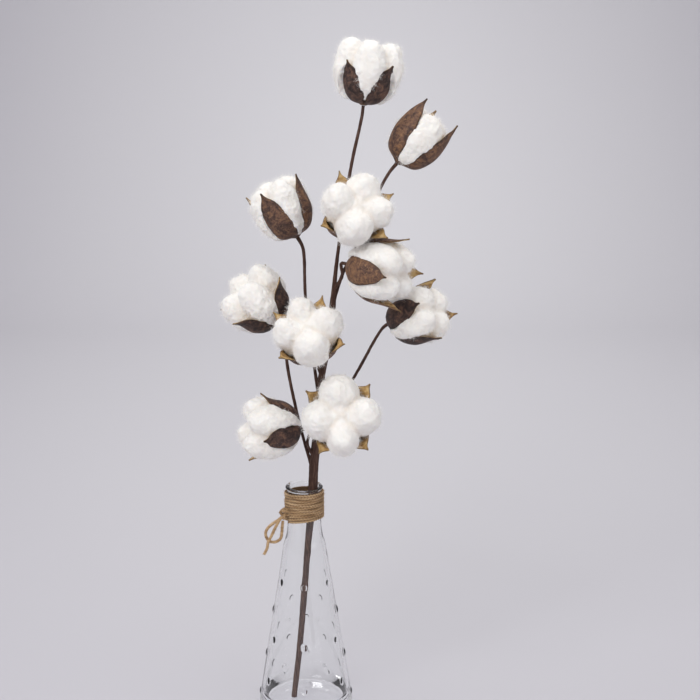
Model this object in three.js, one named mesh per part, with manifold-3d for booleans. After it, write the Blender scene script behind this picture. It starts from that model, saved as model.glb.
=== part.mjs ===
// A bunch of cotton bolls on one branching stem, standing in a hobnail glass bottle vase
// whose neck is wrapped with jute twine. Millimetres, +Z up. The origin is the centre of
// the vase's flat bottom, -Y is the front and +X is the right.
import * as THREE from 'three';
import { mergeVertices } from 'three/addons/utils/BufferGeometryUtils.js';
import Module from 'manifold-3d';

const wasm = await Module();
wasm.setup();

// ---- Driving dimensions ----

const CLEARANCE = 0.3; // air kept between neighbouring pieces
const SIDE_CLEARANCE = 0.6; // air kept round a valve's edges and under the cotton

// Vase: a straight cone with a thick floor, a slim neck and a rolled lip.
const VASE_HEIGHT = 198;
const BASE_RADIUS = 39;
const BASE_EDGE = 3; // how far the foot's edge is rounded in
const FLOOR = { thickness: 9, flatRadius: 30, cornerZ: 20 };
const CONE_BOTTOM = { radius: 38.6, z: 11 };
const CONE_TOP = { radius: 17.2, z: 147 };
const CONE_WALL = 2.8;
const SHOULDER = { radius: 14.8, z: 156 };
const NECK = { radius: 13.7, wall: 2.2, bottomZ: 164 };
const LIP = { radius: 15.1, bottomZ: 196, rounding: 0.6 };
const VASE_SEGMENTS = 21;

// Hobnails: small glass bumps in staggered rows round the cone.
const HOBNAIL_ROWS = [16, 33, 51, 69, 90, 118];
const HOBNAILS_PER_ROW = 6;
const HOBNAIL = { width: 4.2, height: 5, relief: 1.3 };

// Twine: one jute cord wound round the neck, knotted at the left front.
const TWINE_DIAMETER = 2.1;
const LOOSE_TWINE_DIAMETER = 2.6; // where nothing pulls it tight
const WRAP = { turns: 11, bottomZ: 169.3, topZ: 193.8, valleyDepth: 0.5, segments: 14 };
const WRAP_SLANT = { bottom: [0.13, -0.14], top: [0.03, -0.1] }; // rise per unit of +X and +Y
const KNOT = { azimuth: -146, z: 178, standOff: 2, size: [7.4, 8.4, 9.4] };
const LOOP_ROUTE = [
  [-18.3, -12, 174.7], [-21, -12.6, 172.8], [-25, -13, 170.2], [-29.1, -13, 166.3],
  [-30.9, -13, 162], [-29.6, -13, 157], [-26.6, -13, 154.6], [-22.6, -13, 154.6],
  [-18.9, -13, 157.5], [-17.8, -13.2, 163], [-17.4, -13.5, 168], [-16.8, -13.1, 172.4],
];
const TAIL_ROUTE = [
  [-17.4, -14.2, 176.8], [-20, -15.9, 173.4], [-22.6, -16.2, 168.6], [-26, -16, 161],
  [-28.6, -16, 156], [-29.8, -16, 150], [-32.2, -16, 145],
];

// Main stem: its route from the vase's floor up, and its radius as [height, radius] pairs.
const STEM_FOOT_GAP = 0.9; // under the tilted foot, so that its low edge just clears the floor
const STEM_ROUTE = [
  [-10, 0, FLOOR.thickness + STEM_FOOT_GAP], [-5, 0, 54], [-1, 0, 100], [3.5, 0, 155], [6.5, 0, 185],
  [8, 0, 215], [10.5, 0, 240], [14, 0, 285], [18, 0, 308], [23, 0, 343], [26, 0, 375], [30, 0, 405],
  [38, 0, 456],
];
const STEM_RADIUS = [
  [0, 2.3], [150, 2.7], [190, 3.9], [230, 3.7], [295, 2.7], [335, 3.1], [362, 1.8], [390, 1.3], [520, 1.2],
];
const TWIG_RADIUS = 1.25;
const STALK_LENGTH = 9; // the straight stretch of twig under a boll

// Cotton boll: a woody bur of cupped, pointed valves that alternate with soft locks of cotton.
// A valve's mid-line is given as [radius, height] pairs about the boll's own axis.
const CLOSED_VALVE = [[2.5, 1.5], [13, 5], [19.5, 18], [19, 34], [15.5, 48]];
const OPEN_VALVE = [[2.5, 1.5], [13, 3], [21.5, 10.5], [25.5, 22], [33, 32]];
const VALVE = { width: 23, thickness: 0.9, cupRadius: 14, baseHalfWidth: 3.2, tipHalfWidth: 0.45 };
const ROOM_DEPTH = 9; // how far out from a valve the cotton stays away
const RECEPTACLE = { radius: 6.2, height: 4.6, stalk: 2, flareZ: 2.4 };
const CLOSED_LOCK = { radial: 12, tangential: 13, vertical: 20, z: 25, offset: 8, flare: 3 };
const OPEN_LOCK = { radial: 14.5, tangential: 15.5, vertical: 21, z: 26.5, offset: 13, flare: 12 };

// Each boll: the foot of its receptacle, its axis's azimuth (turn) and angle from the vertical
// (lean), the azimuth of its first valve (roll), how far it has opened (0 to 1), the length of
// its valves (reach) and its size against the typical boll, each valve's own skew in degrees,
// and the route of its twig from the stem. The first boll sits on the stem's tip.
const BOLLS = [
  { foot: [47, 0, 501], turn: 31, lean: 9, roll: 46, locks: 4, open: 0.65, reach: 0.82, size: 1.03 },
  {
    foot: [73, 12, 456], turn: 10, lean: 41, roll: 96, locks: 3, open: 0, reach: 1.06, size: 1,
    twig: [[24, 0, 350], [32, 4, 373], [40, 6, 388], [57, 10, 430]],
  },
  {
    foot: [-4, 15, 398], turn: 177, lean: 27, roll: 72, locks: 4, open: 0.3, reach: 1, size: 1.04,
    twig: [[12.5, 0, 272], [9, 6, 294], [2, 12, 351]],
  },
  {
    foot: [35, -9, 413], turn: -74, lean: 59, roll: 45, locks: 4, open: 0.95, reach: 0.95, size: 1,
    skew: [-10, -12, -6, 10], twig: [[29, 0, 396]],
  },
  {
    foot: [38, -12, 381], turn: -33, lean: 93, roll: 50, locks: 4, open: 0.4, reach: 1.1, size: 1.05,
    twig: [[25, 0, 360], [31, -6, 372]],
  },
  {
    foot: [71, 10, 330], turn: -36, lean: 67, roll: 33, locks: 4, open: 0.3, reach: 1.03, size: 1.03,
    twig: [[11, 0, 245], [39, 6, 285]],
  },
  {
    foot: [-20, 8, 332], turn: -164, lean: 43, roll: 61, locks: 4, open: 1, reach: 1.08, size: 0.97,
    twig: [[7, 0, 212], [-1, 2, 240], [-13, 5, 300]],
  },
  {
    foot: [8, -12, 314], turn: -98, lean: 46, roll: 61, locks: 4, open: 0.9, reach: 0.97, size: 1,
    skew: [6, -6, -16, 0], twig: [[15, 0, 288]],
  },
  {
    foot: [-3, -8, 248], turn: -161, lean: 81, roll: 13, locks: 4, open: 0.65, reach: 1, size: 1,
    twig: [[8, 0, 222], [3, -5, 236]],
  },
  {
    foot: [30, -9, 255], turn: -90, lean: 65, roll: 54, locks: 4, open: 0.9, reach: 0.88, size: 1.15,
    skew: [-6, 0, 6, -15], twig: [[11, 0, 240]],
  },
];

// ---- Solids ----

const { degToRad, lerp, mapLinear } = THREE.MathUtils;
const MERGE_DISTANCE = 1e-4;

// Turns a closed geometry into a solid that can be joined and cut.
function toSolid(geometry) {
  const bare = geometry.clone();
  bare.deleteAttribute('normal');
  bare.deleteAttribute('uv');
  const merged = mergeVertices(bare, MERGE_DISTANCE);
  return new wasm.Manifold(new wasm.Mesh({
    numProp: 3,
    vertProperties: Float32Array.from(merged.attributes.position.array),
    triVerts: Uint32Array.from(merged.index.array),
  }));
}

// Turns a solid back into a geometry.
function toGeometry(solid) {
  const { vertProperties, triVerts } = solid.getMesh();
  const geometry = new THREE.BufferGeometry();
  geometry.setAttribute('position', new THREE.BufferAttribute(vertProperties, 3));
  geometry.setIndex(new THREE.BufferAttribute(triVerts, 1));
  geometry.computeVertexNormals();
  return geometry;
}

// Joins closed geometries into one solid.
function join(geometries) {
  return geometries.map(toSolid).reduce((whole, next) => whole.add(next));
}

// The largest of the separate pieces that a cut leaves.
function largestPiece(solid) {
  return solid.decompose().reduce((best, next) => (next.volume() > best.volume() ? next : best));
}

// Revolves [radius, height] pairs round +Z.
function revolve(profile, segments) {
  const points = profile.map(([radius, z]) => new THREE.Vector2(radius, z));
  return new THREE.LatheGeometry(points, segments).rotateX(Math.PI / 2);
}

// A round tube along a smooth curve. radiusAt gives the radius at a centre of the curve.
function tube(route, radiusAt, sides, steps) {
  const path = new THREE.CatmullRomCurve3(route.map((p) => new THREE.Vector3(...p)), false, 'centripetal');
  const corners = Array.from({ length: sides }, (_, i) => {
    const angle = (2 * Math.PI * i) / sides;
    return new THREE.Vector2(Math.cos(angle), Math.sin(angle));
  });
  const geometry = new THREE.ExtrudeGeometry(new THREE.Shape(corners), {
    extrudePath: path, steps, bevelEnabled: false,
  });
  const centres = path.getSpacedPoints(steps);
  const position = geometry.attributes.position;
  const vertex = new THREE.Vector3();
  for (let i = 0; i < position.count; i += 1) {
    vertex.fromBufferAttribute(position, i);
    const distances = centres.map((centre) => centre.distanceToSquared(vertex));
    const centre = centres[distances.indexOf(Math.min(...distances))];
    vertex.sub(centre).multiplyScalar(radiusAt(centre)).add(centre);
    position.setXYZ(i, vertex.x, vertex.y, vertex.z);
  }
  return geometry;
}

// Reads a value off [key, value] pairs by straight lines between them.
function interpolate(pairs, key) {
  const next = pairs.findIndex(([k]) => k > key);
  const [k0, v0] = pairs[next - 1];
  const [k1, v1] = pairs[next];
  return mapLinear(key, k0, k1, v0, v1);
}

function part(name, geometry, look) {
  const mesh = new THREE.Mesh(geometry, look);
  mesh.name = name;
  return mesh;
}

// ---- Materials ----

const glass = new THREE.MeshStandardMaterial({ color: 0xdfe4e8, roughness: 0.05, metalness: 0 });
const jute = new THREE.MeshStandardMaterial({ color: 0xa3825f, roughness: 0.95, metalness: 0 });
const bark = new THREE.MeshStandardMaterial({ color: 0x6b5347, roughness: 0.85, metalness: 0 });
const husk = new THREE.MeshStandardMaterial({ color: 0x5c4238, roughness: 0.8, metalness: 0 });
const lint = new THREE.MeshStandardMaterial({ color: 0xf1ece7, roughness: 1, metalness: 0 });

// ---- Vase ----

// The cone's outer radius at a height.
function coneRadius(z) {
  return mapLinear(z, CONE_BOTTOM.z, CONE_TOP.z, CONE_BOTTOM.radius, CONE_TOP.radius);
}

function vaseProfile() {
  const bore = NECK.radius - NECK.wall;
  const outside = [
    [0, 0], [BASE_RADIUS - BASE_EDGE, 0], [BASE_RADIUS, BASE_EDGE], [CONE_BOTTOM.radius, CONE_BOTTOM.z],
    [CONE_TOP.radius, CONE_TOP.z], [SHOULDER.radius, SHOULDER.z], [NECK.radius, NECK.bottomZ],
    [NECK.radius, LIP.bottomZ],
  ];
  const lip = [
    [LIP.radius, LIP.bottomZ + LIP.rounding], [LIP.radius, VASE_HEIGHT - LIP.rounding],
    [LIP.radius - LIP.rounding, VASE_HEIGHT], [bore + LIP.rounding, VASE_HEIGHT],
    [bore, VASE_HEIGHT - 2 * LIP.rounding],
  ];
  const inside = [
    [bore, NECK.bottomZ - 2], [CONE_TOP.radius - CONE_WALL, CONE_TOP.z],
    [coneRadius(FLOOR.cornerZ) - CONE_WALL, FLOOR.cornerZ], [FLOOR.flatRadius, FLOOR.thickness + 1],
    [0, FLOOR.thickness],
  ];
  return [...outside, ...lip, ...inside];
}

// One bump, set into the cone so that it stands out by its relief.
function hobnail(azimuth, z) {
  const slope = Math.atan2(CONE_BOTTOM.radius - CONE_TOP.radius, CONE_TOP.z - CONE_BOTTOM.z);
  const bump = new THREE.IcosahedronGeometry(1, 0);
  bump.scale(HOBNAIL.relief, HOBNAIL.width / 2, HOBNAIL.height / 2);
  bump.rotateY(-slope);
  bump.translate(coneRadius(z), 0, z);
  return bump.rotateZ(azimuth);
}

function vase() {
  const step = (2 * Math.PI) / HOBNAILS_PER_ROW;
  const bumps = HOBNAIL_ROWS.flatMap((z, row) => Array.from(
    { length: HOBNAILS_PER_ROW },
    (_, i) => hobnail((i + (row % 2) / 2) * step, z),
  ));
  return part('vase_glass', toGeometry(join([revolve(vaseProfile(), VASE_SEGMENTS), ...bumps])), glass);
}

// ---- Twine ----

// The turns lie side by side as ridges, and slant more at the bottom than at the top.
function twineWrap() {
  const bore = (NECK.radius + CLEARANCE) / Math.cos(Math.PI / WRAP.segments);
  const crest = NECK.radius + CLEARANCE + TWINE_DIAMETER;
  const pitch = (WRAP.topZ - WRAP.bottomZ) / WRAP.turns;
  const profile = [[bore, WRAP.bottomZ], [crest - WRAP.valleyDepth, WRAP.bottomZ]];
  for (let turn = 0; turn < WRAP.turns; turn += 1) {
    profile.push([crest, WRAP.bottomZ + (turn + 0.5) * pitch]);
    profile.push([crest - WRAP.valleyDepth, WRAP.bottomZ + (turn + 1) * pitch]);
  }
  profile.push([bore, WRAP.topZ], [bore, WRAP.bottomZ]);
  const ring = revolve(profile, WRAP.segments);
  const position = ring.attributes.position;
  for (let i = 0; i < position.count; i += 1) {
    const z = position.getZ(i);
    const [slantX, slantY] = WRAP_SLANT.bottom.map(
      (low, axis) => mapLinear(z, WRAP.bottomZ, WRAP.topZ, low, WRAP_SLANT.top[axis]),
    );
    position.setZ(i, z + slantX * position.getX(i) + slantY * position.getY(i));
  }
  const knot = new THREE.SphereGeometry(0.5, 10, 7).scale(...KNOT.size);
  knot.translate(crest + KNOT.standOff, 0, KNOT.z).rotateZ(degToRad(KNOT.azimuth));
  return part('twine_wrap', toGeometry(join([ring, knot])), jute);
}

// A free length of the twine, as a plain round cord.
function freeTwine(name, route, steps) {
  return part(name, tube(route, () => LOOSE_TWINE_DIAMETER / 2, 8, steps), jute);
}

// ---- Stem ----

// The route's last stretch, straight up the boll's axis to just under its receptacle.
function underBoll({ base, axis }) {
  return [-STALK_LENGTH, -CLEARANCE].map((along) => base.clone().addScaledVector(axis, along).toArray());
}

function branch(bolls) {
  const [top, ...others] = bolls;
  const stem = tube([...STEM_ROUTE, ...underBoll(top)], ({ z }) => interpolate(STEM_RADIUS, z), 8, 24);
  const twigs = others.map((boll) => {
    const route = [...boll.twig, ...underBoll(boll)];
    return tube(route, () => TWIG_RADIUS, 6, Math.round(1.5 * route.length));
  });
  return part('branch', toGeometry(join([stem, ...twigs])), bark);
}

// ---- Bolls ----

// Half of a valve's width at the fraction t of its length: rounded low down, drawn to a point.
function valveHalfWidth(t) {
  const leaf = Math.sin(Math.PI * t ** 0.85) ** 0.75 * (1 - 0.62 * t ** 3);
  return Math.max((VALVE.width / 2) * leaf, VALVE.baseHalfWidth * (1 - t) ** 4, VALVE.tipHalfWidth);
}

// The azimuths of a boll's valves: evenly spaced, each off by its own skew.
function valveAzimuths({ locks, skew = [] }) {
  return Array.from({ length: locks }, (_, i) => (2 * Math.PI * i) / locks + degToRad(skew[i] ?? 0));
}

// A slab along a valve's cupped surface, between two heights above it, wider all round by margin.
function valveSlab({ open, locks, reach }, azimuth, from, to, margin) {
  const crowding = Math.sqrt(4 / locks);
  const midline = new THREE.CatmullRomCurve3(CLOSED_VALVE.map(([radius, z], i) => {
    const [openRadius, openZ] = OPEN_VALVE[i];
    return new THREE.Vector3(lerp(radius, openRadius, open), 0, lerp(z, openZ, open)).multiplyScalar(reach);
  }));
  const slab = new THREE.BoxGeometry(2, 1, 1, 3, 5, 1);
  const position = slab.attributes.position;
  const side = new THREE.Vector3(0, 1, 0);
  for (let i = 0; i < position.count; i += 1) {
    const t = position.getY(i) + 0.5;
    const height = lerp(from, to, position.getZ(i) + 0.5);
    const bend = (position.getX(i) * (crowding * valveHalfWidth(t) + margin)) / VALVE.cupRadius;
    const along = midline.getTangent(t);
    const outward = new THREE.Vector3().crossVectors(side, along);
    const normal = outward.clone().multiplyScalar(Math.cos(bend)).addScaledVector(side, Math.sin(bend));
    const point = midline.getPoint(t).addScaledVector(along, t === 1 ? margin : 0);
    point.addScaledVector(outward, -VALVE.cupRadius).addScaledVector(normal, VALVE.cupRadius + height);
    position.setXYZ(i, point.x, point.y, point.z);
  }
  return slab.rotateZ(azimuth);
}

// The woody button that the valves grow from, larger all round by margin.
function receptacle(margin) {
  const { radius, height, stalk, flareZ } = RECEPTACLE;
  return revolve([
    [0, -margin], [stalk + margin, -margin], [radius + margin, flareZ], [radius + margin, height - 1],
    [stalk, height + margin], [0, height + margin],
  ], 8);
}

// One soft lock of cotton between two valves, an egg that leans out from the boll's axis.
function lock(from, to, open) {
  const size = (name) => lerp(CLOSED_LOCK[name], OPEN_LOCK[name], open);
  const room = Math.sqrt((to - from) / (Math.PI / 2));
  const egg = new THREE.SphereGeometry(1, 8, 6).rotateX(Math.PI / 2);
  egg.scale(size('radial'), size('tangential') * room, size('vertical'));
  egg.rotateY(degToRad(size('flare')));
  egg.translate(size('offset'), 0, size('z'));
  return egg.rotateZ((from + to) / 2);
}

function bur(name, form) {
  const half = VALVE.thickness / 2;
  const valves = valveAzimuths(form).map((azimuth) => valveSlab(form, azimuth, -half, half, 0));
  return part(name, toGeometry(join([receptacle(0), ...valves])), husk);
}

// The locks are joined, and the valves and the receptacle keep their room in them.
function cotton(name, form) {
  const azimuths = valveAzimuths(form);
  const eggs = azimuths.map((azimuth, i) => {
    const next = azimuths[i + 1] ?? azimuths[0] + 2 * Math.PI;
    return lock(azimuth, next, form.open);
  });
  const inner = -VALVE.thickness / 2 - CLEARANCE;
  const rooms = azimuths.map((azimuth) => valveSlab(form, azimuth, inner, ROOM_DEPTH, SIDE_CLEARANCE));
  const soft = join(eggs).subtract(join([receptacle(SIDE_CLEARANCE), ...rooms]));
  return part(name, toGeometry(largestPiece(soft)), lint);
}

// Adds a boll's place in the object: its base, its axis and how it is turned.
function placed(form) {
  const turned = new THREE.Quaternion().setFromEuler(
    new THREE.Euler(0, degToRad(form.lean), degToRad(form.turn), 'ZYX'),
  );
  const axis = new THREE.Vector3(0, 0, 1).applyQuaternion(turned);
  const rolled = new THREE.Quaternion().setFromAxisAngle(axis, degToRad(form.roll - form.turn));
  return { ...form, axis, base: new THREE.Vector3(...form.foot), quaternion: rolled.multiply(turned) };
}

function boll(form, index) {
  const number = String(index + 1).padStart(2, '0');
  const group = new THREE.Group();
  group.position.copy(form.base);
  group.quaternion.copy(form.quaternion);
  group.scale.setScalar(form.size);
  group.add(bur(`bur_${number}`, form), cotton(`cotton_${number}`, form));
  return group;
}

// ---- The object ----

const bolls = BOLLS.map(placed);
const object = new THREE.Group();
object.add(
  vase(),
  twineWrap(),
  freeTwine('twine_loop', LOOP_ROUTE, 16),
  freeTwine('twine_tail', TAIL_ROUTE, 9),
  branch(bolls),
  ...bolls.map(boll),
);

export default object;
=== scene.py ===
"""Looks of a cotton stem bunch in a hobnail glass bottle vase with jute twine round its neck."""

import math
import random

import bmesh
import bpy
from mathutils import Matrix, Vector, noise
from mathutils.bvhtree import BVHTree


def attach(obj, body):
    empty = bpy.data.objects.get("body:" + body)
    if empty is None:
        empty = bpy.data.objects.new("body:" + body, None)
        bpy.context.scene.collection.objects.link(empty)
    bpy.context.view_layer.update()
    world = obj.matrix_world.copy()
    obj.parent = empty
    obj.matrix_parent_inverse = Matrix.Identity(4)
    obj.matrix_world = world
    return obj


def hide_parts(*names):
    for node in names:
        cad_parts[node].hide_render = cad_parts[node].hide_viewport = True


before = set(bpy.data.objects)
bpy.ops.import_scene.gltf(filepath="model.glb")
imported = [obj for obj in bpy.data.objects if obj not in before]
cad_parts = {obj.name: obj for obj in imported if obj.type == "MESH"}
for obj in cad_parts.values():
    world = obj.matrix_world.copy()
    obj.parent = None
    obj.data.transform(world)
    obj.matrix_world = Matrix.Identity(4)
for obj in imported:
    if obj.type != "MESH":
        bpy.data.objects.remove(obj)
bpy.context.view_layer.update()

MM = 0.001

# ---- Sizes, in millimetres ----

FLOOR_GAP = 0.2
CAMERA = {"place": (37, -1063, 593.8), "down": 14.9, "lens": 72, "sensor": 36}

# Studio: floor and backdrop in millimetres, lamps in metres and watts, each as spot, aim, size and power
BACKDROP = {"front": -3200, "fold": 1300, "radius": 600, "rise": 3200, "half_width": 2600, "steps": 24}
# The pool is painted light, the lighter part of the floor and backdrop, which are coloured darker away
# from it: how its middle is moved and stretched, in metres
FLOOR_LIGHT_POOL = {"place": (-0.056, -0.48, -0.105), "scale": (0.7, 0.3, 0.35)}
ROOM_LIGHT = {"colour": (0.92, 0.92, 0.95), "strength": 0.5}
LAMPS = {
    "key": ((-0.8, -1.3, 1.5), (0.03, 0, 0.33), 1.2, 20),
    "fill": ((1.4, -0.9, 0.9), (0.03, 0, 0.3), 1.4, 6),
    "top": ((0.1, 0.3, 1.9), (0.03, 0.2, 0.2), 1.6, 10),
    "backdrop": ((0.06, 1.3, 1.75), (0.06, 1.3, 0), 1.1, 4),
}

# Vase
VASE_HEIGHT = 198
BASE_RADIUS = 39
FOOT_ROUNDING = 3
FLOOR_THICKNESS = 9
CONE_BOTTOM = (38.6, 11)
CONE_TOP = (17.2, 147)
CONE_WALL = 2.8
NECK_RADIUS = 13.7
NECK_WALL = 2.2
NECK_BOTTOM = 164
LIP_RADIUS = 15.1
LIP_BOTTOM = 196
LIP_ROUNDING = 1.1
VASE_SEGMENTS = 96
CONE_RINGS = 44
FOOT_TOP = 6
SHOULDER = {"start": 140, "middle": (14.8, 156), "end": 172}
INNER_SHOULDER = {"start": 135, "middle": (12.6, 154)}
FLOOR_CORNER = {"top": 24, "wall": 19, "curve": [(31, 1.6), (24, 0.2), (14, 0)]}
HOBNAIL_ROWS = (16, 33, 51, 69, 90, 118)
HOBNAILS_PER_ROW = 6
HOBNAIL = {"width": 4.4, "height": 5.6, "relief": 0.95, "skirt": 1.1, "fullness": 0.6, "reach": 1.5}

# Twine
TWINE = 2.1
LOOSE_TWINE = 2.6
UNDER_TWINE = 1.5
TWIST_PITCH = 5
PLY = {"offset": 0.235, "radius": 0.265}
POINTS_PER_TWIST = {"wound": 8, "loose": 9}
WRAP = {"turns": 11, "bottom": 169.3, "top": 193.8}
WRAP_SLANT = {"bottom": (0.13, -0.14), "top": (0.03, -0.1)}
WRAP_GAP = 0.3
WRAP_STEP_UP = 0.28
WRAP_UNEVENNESS = {"sideways": 0.3, "upward": 0.9, "per_turn": 4.3}
KNOT = {"azimuth": -146, "radius": 18.1, "height": 178, "size": (7.4, 8.4, 9.4)}
LOOP_ROUTE = [
    (-18.3, -12, 174.7), (-21, -12.6, 172.8), (-25, -13, 170.2), (-29.1, -13, 166.3),
    (-30.9, -13, 162), (-29.6, -13, 157), (-26.6, -13, 154.6), (-22.6, -13, 154.6),
    (-18.9, -13, 157.5), (-17.8, -13.2, 163), (-17.4, -13.5, 168), (-16.8, -13.1, 172.4),
]
TAIL_ROUTE = [
    (-17.4, -14.2, 176.8), (-20, -15.9, 173.4), (-22.6, -16.2, 168.6), (-26, -16, 161),
    (-28.6, -16, 156), (-29.8, -16, 150), (-32.2, -16, 145),
]

# Stem
STEM_ROUTE = [
    (-10, 0, 9.9), (-5, 0, 54), (-1, 0, 100), (3.5, 0, 155), (6.5, 0, 185), (8, 0, 215), (10.5, 0, 240),
    (14, 0, 285), (18, 0, 308), (23, 0, 343), (26, 0, 375), (30, 0, 405), (38, 0, 456),
]
STEM_RADIUS = [
    (0, 2.3), (150, 2.7), (190, 3.9), (230, 3.7), (295, 2.7), (335, 3.1), (362, 1.8), (390, 1.3),
    (520, 1.2),
]
TWIG_RADIUS = 1.25
TWIG_SWELLING = {"root": 0.45, "root_fade": 14, "tip": 0.3, "tip_fade": 16}
BARK_RELIEF = {"swellings": 0.18, "scars": 0.16}
STALK_LENGTH = 9

# Bolls: a bur of cupped valves that alternate with soft locks of cotton. Open is 0 for a closed bur
# and 1 for a wide one. Turn, lean, roll and skew are degrees, and skew shifts each valve round the bur.
CLOSED_VALVE = [(2.5, 1.5), (13, 5), (19.5, 18), (19, 34), (15.5, 48)]
OPEN_VALVE = [(2.5, 1.5), (13, 3), (21.5, 10.5), (25.5, 22), (33, 32)]
VALVE = {"width": 23, "thickness": 0.9, "cup": 14, "base": 3.2, "tip": 0.45, "hook": 1.5}
VALVE_DRYING = {"warp": 1.1, "wrinkle": 0.35, "rib": 0.7, "rib_width": 0.1, "ragged": 0.09}
VALVE_GRID = (14, 28)
ROOM_GRID = (6, 14)
RECEPTACLE = {"radius": 6.2, "height": 4.6, "stalk": 2, "flare": 2.4}
CLOSED_LOCK = {"radial": 12.5, "tangential": 13.5, "vertical": 22, "z": 23.5, "offset": 8.4, "flare": 3}
OPEN_LOCK = {"radial": 13.2, "tangential": 13.8, "vertical": 22, "z": 25, "offset": 13.8, "flare": 12}
LINT_CORE = {"radius": 12.5, "rise": 3}
LOCK_SKIN = 0.85
ROOM_SKIN = 0.5
VALVE_ROOM = {"below": -0.75, "above": 10, "margin": 0.2, "narrowing": 0.72}
CREASE = {"width": 0.17, "depth": 0.5}
SMOOTHING_PASSES = 7
FLUFF = {"lumps": 1.6, "billows": 1.1, "tufts": 0.4, "swell": 0.1}
LINT_TUFTS = 850
MISS_COUNTS = 0.2  # what a tuft that a valve is in the way of counts for
HUSK_CLEARANCE = 2.6

BOLLS = [
    {"foot": (47, 0, 501), "turn": 31, "lean": 9, "roll": 46, "locks": 4, "open": 0.65, "reach": 0.82,
     "tone": 0.25, "size": 1.03},
    {"foot": (73, 12, 456), "turn": 10, "lean": 41, "roll": 96, "locks": 3, "open": 0, "reach": 1.06,
     "tone": 0.75, "size": 1, "twig": [(24, 0, 350), (32, 4, 373), (40, 6, 388), (57, 10, 430)]},
    {"foot": (-4, 15, 398), "turn": 177, "lean": 27, "roll": 72, "locks": 4, "open": 0.3, "reach": 1,
     "tone": 0.7, "size": 1.04, "twig": [(12.5, 0, 272), (9, 6, 294), (2, 12, 351)]},
    {"foot": (35, -9, 413), "turn": -74, "lean": 59, "roll": 45, "locks": 4, "open": 0.95, "reach": 0.95,
     "tone": 0.6, "size": 1, "skew": (-10, -12, -6, 10), "twig": [(29, 0, 396)]},
    {"foot": (38, -12, 381), "turn": -33, "lean": 93, "roll": 50, "locks": 4, "open": 0.4, "reach": 1.1,
     "tone": 0.95, "size": 1.05, "twig": [(25, 0, 360), (31, -6, 372)]},
    {"foot": (71, 10, 330), "turn": -36, "lean": 67, "roll": 33, "locks": 4, "open": 0.3, "reach": 1.03,
     "tone": 0.15, "size": 1.03, "twig": [(11, 0, 245), (39, 6, 285)]},
    {"foot": (-20, 8, 332), "turn": -164, "lean": 43, "roll": 61, "locks": 4, "open": 1, "reach": 1.08,
     "tone": 0.15, "size": 0.97, "twig": [(7, 0, 212), (-1, 2, 240), (-13, 5, 300)]},
    {"foot": (8, -12, 314), "turn": -98, "lean": 46, "roll": 61, "locks": 4, "open": 0.9, "reach": 0.97,
     "tone": 0.6, "size": 1, "skew": (6, -6, -16, 0), "twig": [(15, 0, 288)]},
    {"foot": (-3, -8, 248), "turn": -161, "lean": 81, "roll": 13, "locks": 4, "open": 0.65, "reach": 1,
     "tone": 0.3, "size": 1, "twig": [(8, 0, 222), (3, -5, 236)]},
    {"foot": (30, -9, 255), "turn": -90, "lean": 65, "roll": 54, "locks": 4, "open": 0.9, "reach": 0.88,
     "tone": 0.4, "size": 1.15, "skew": (-6, 0, 6, -15), "twig": [(11, 0, 240)]},
]

COLOURS = {
    "glass": (0.985, 0.99, 0.99),
    "glass_shadow": (0.985, 0.985, 0.99),
    "cotton_shade": (0.92, 0.88, 0.835),
    "cotton": (0.96, 0.935, 0.9),
    # painted shade for the creases between the cotton's locks
    "cotton_painted_crease_shade": (0.84, 0.775, 0.7),
    "cotton_fibre": (0.95, 0.93, 0.9),
    "husk_black": (0.02, 0.012, 0.011),
    "husk_dark": (0.058, 0.034, 0.029),
    "husk_brown": (0.135, 0.072, 0.05),
    "husk_rust": (0.27, 0.14, 0.072),
    "husk_fleck": (0.31, 0.17, 0.085),
    "husk_speck": (0.016, 0.01, 0.009),
    "husk_rim": (0.022, 0.013, 0.01),
    "lining_brown": (0.25, 0.12, 0.04),
    "lining_gold": (0.56, 0.36, 0.14),
    "lining_straw": (0.74, 0.56, 0.29),
    "lining_rim": (0.06, 0.03, 0.015),
    "bark_dark": (0.028, 0.013, 0.01),
    "bark": (0.068, 0.033, 0.024),
    "bark_light": (0.145, 0.08, 0.056),
    "bark_patch": (0.1, 0.056, 0.043),
    "jute_brown": (0.3, 0.18, 0.09),
    "jute": (0.56, 0.37, 0.2),
    "jute_straw": (0.74, 0.54, 0.33),
    "jute_fibre": (0.2, 0.11, 0.05),
    # painted shade for the twine nearest the neck, between its turns
    "jute_painted_gap_shade": (0.13, 0.068, 0.03),
    # the floor's painted light: darker away from the pool, lighter in its middle
    "floor_painted_dim": (0.56, 0.545, 0.58),
    "floor": (0.62, 0.607, 0.635),
    "floor_painted_lit": (0.73, 0.72, 0.742),
}


# ---- Small helpers ----


def mix(a, b, share):
    """The value at a share of the way from a to b."""
    return a + (b - a) * share


def between(pairs, key):
    """Reads a value off (key, value) pairs by straight lines between them."""
    for (k0, v0), (k1, v1) in zip(pairs, pairs[1:]):
        if key <= k1:
            return mix(v0, v1, (key - k0) / (k1 - k0))
    return pairs[-1][1]


def along(points, t):
    """The point at the fraction t of a smooth curve through points."""
    last = len(points) - 1
    reach = min(max(t, 0), 1) * last
    i = min(int(reach), last - 1)
    p1, p2 = points[i], points[i + 1]
    p0 = points[i - 1] if i > 0 else p1 * 2 - p2
    p3 = points[i + 2] if i + 2 <= last else p2 * 2 - p1
    d0, d1, d2 = (max((b - a).length ** 0.5, 1e-4) for a, b in ((p0, p1), (p1, p2), (p2, p3)))
    m1 = ((p1 - p0) / d0 - (p2 - p0) / (d0 + d1) + (p2 - p1) / d1) * d1
    m2 = ((p2 - p1) / d1 - (p3 - p1) / (d1 + d2) + (p3 - p2) / d2) * d1
    u = reach - i
    a = 2 * p1 - 2 * p2 + m1 + m2
    b = -3 * p1 + 3 * p2 - 2 * m1 - m2
    return ((a * u + b) * u + m1) * u + p1


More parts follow.
